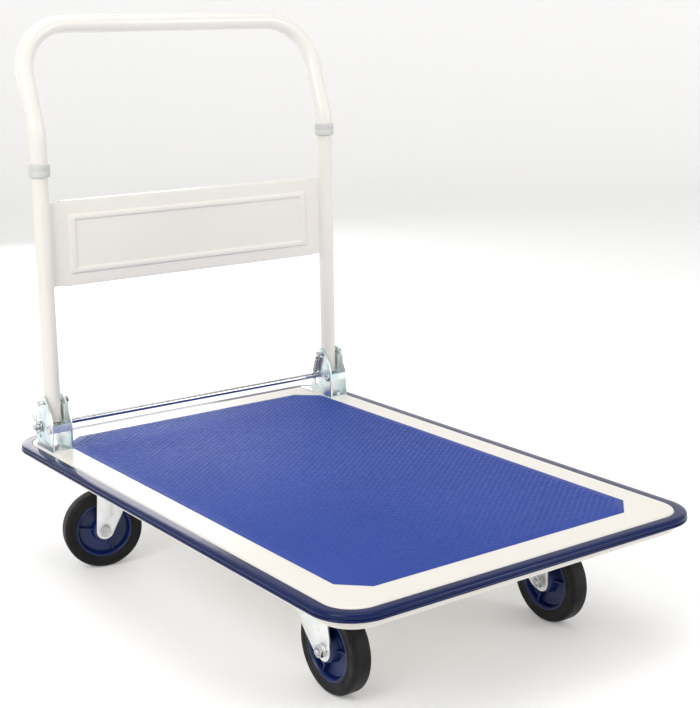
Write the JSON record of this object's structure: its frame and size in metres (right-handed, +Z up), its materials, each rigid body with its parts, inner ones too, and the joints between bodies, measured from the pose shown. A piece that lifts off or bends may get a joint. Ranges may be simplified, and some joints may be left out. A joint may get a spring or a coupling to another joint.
{
  "type": "folding platform cart",
  "caption": "Flat steel platform cart with bumper and mat, two rigid and two swivel casters, and a bent tube push handle that folds down over the deck.",
  "frame": {"origin": "middle of the deck seen from above, at floor level", "axes": "+Z up, +Y from the front edge towards the handle, +X to the right seen from behind the handle"},
  "size_m": [0.61, 0.926, 0.8583],
  "materials": {
    "ivory_paint": "satin gloss powder coat",
    "blue_vinyl": "embossed, soft sheen",
    "navy_vinyl": "glossy",
    "grip_vinyl": "glossy",
    "grey_plastic": "satin",
    "zinc_plate": "bluish passivated zinc plating",
    "bright_zinc": "bright zinc plating",
    "bright_steel": "bright",
    "spring_steel": "bright",
    "tyre_rubber": "dull",
    "wheel_plastic": "glossy moulded"
  },
  "bodies": {
    "deck": {"deck_pan": "ivory_paint", "front_cross_channel": "ivory_paint", "rear_cross_channel": "ivory_paint", "deck_rails": "ivory_paint", "bracket_stiffeners": "ivory_paint", "deck_mat": "blue_vinyl", "bumper": "navy_vinyl", "hinge_bracket_left": "zinc_plate", "hinge_bracket_right": "zinc_plate", "bracket_bolts": "bright_steel", "bracket_nuts": "bright_steel", "hinge_pins": "bright_steel", "spring_studs": "bright_steel", "lock_spring_left": "spring_steel", "lock_spring_right": "spring_steel", "caster_bolts": "bright_steel", "caster_nuts": "bright_steel", "front_left_fork": "bright_zinc", "front_right_fork": "bright_zinc", "front_axle_bolts": "bright_steel", "front_axle_nuts": "bright_steel", "front_axle_sleeves": "bright_steel", "rear_left_top_plate": "bright_zinc", "rear_right_top_plate": "bright_zinc", "swivel_balls": "bright_steel", "kingpins": "bright_steel"},
    "handle": {"handle_tube": "ivory_paint", "grip_sleeve": "grip_vinyl", "collar_left": "grey_plastic", "collar_right": "grey_plastic", "sign_panel": "ivory_paint", "hinge_shoe_left": "zinc_plate", "hinge_shoe_right": "zinc_plate", "shoe_rivets": "bright_steel"},
    "lock": {"lock_rod": "bright_steel", "lock_washers": "bright_steel", "lock_split_pins": "bright_steel"},
    "front_left_wheel": {"front_left_tyre": "tyre_rubber", "front_left_wheel_centre": "wheel_plastic"},
    "front_right_wheel": {"front_right_tyre": "tyre_rubber", "front_right_wheel_centre": "wheel_plastic"},
    "rear_left_swivel": {"rear_left_fork": "bright_zinc", "rear_left_axle_bolt": "bright_steel", "rear_left_axle_nut": "bright_steel", "rear_left_axle_sleeve": "bright_steel"},
    "rear_left_wheel": {"rear_left_tyre": "tyre_rubber", "rear_left_wheel_centre": "wheel_plastic"},
    "rear_right_swivel": {"rear_right_fork": "bright_zinc", "rear_right_axle_bolt": "bright_steel", "rear_right_axle_nut": "bright_steel", "rear_right_axle_sleeve": "bright_steel"},
    "rear_right_wheel": {"rear_right_tyre": "tyre_rubber", "rear_right_wheel_centre": "wheel_plastic"}
  },
  "joints": [
    {"name": "handle_fold", "type": "hinge", "parent": "deck", "child": "handle", "pos_m": [0, 0.3503, 0.222], "axis": [1, 0, 0], "range_deg": [0, 90]},
    {"name": "lock_press", "type": "slide", "parent": "deck", "child": "lock", "axis": [0, 0, -1], "range_m": [0, 0.014], "stiffness_N_per_m": 1600, "springref_m": -0.01, "deforming": ["lock_spring_left", "lock_spring_right"]},
    {"name": "front_left_roll", "type": "hinge", "parent": "deck", "child": "front_left_wheel", "pos_m": [-0.188, -0.2845, 0.062], "axis": [1, 0, 0], "continuous": true},
    {"name": "front_right_roll", "type": "hinge", "parent": "deck", "child": "front_right_wheel", "pos_m": [0.188, -0.2845, 0.062], "axis": [1, 0, 0], "continuous": true},
    {"name": "rear_left_swivel_turn", "type": "hinge", "parent": "deck", "child": "rear_left_swivel", "pos_m": [-0.188, 0.297, 0.14], "axis": [0, 0, 1], "continuous": true},
    {"name": "rear_left_roll", "type": "hinge", "parent": "rear_left_swivel", "child": "rear_left_wheel", "pos_m": [-0.22308, 0.3051, 0.062], "axis": [0.225, 0.9744, 0], "continuous": true},
    {"name": "rear_right_swivel_turn", "type": "hinge", "parent": "deck", "child": "rear_right_swivel", "pos_m": [0.188, 0.297, 0.14], "axis": [0, 0, 1], "continuous": true},
    {"name": "rear_right_roll", "type": "hinge", "parent": "rear_right_swivel", "child": "rear_right_wheel", "pos_m": [0.15292, 0.3051, 0.062], "axis": [0.225, 0.9744, 0], "continuous": true}
  ]
}
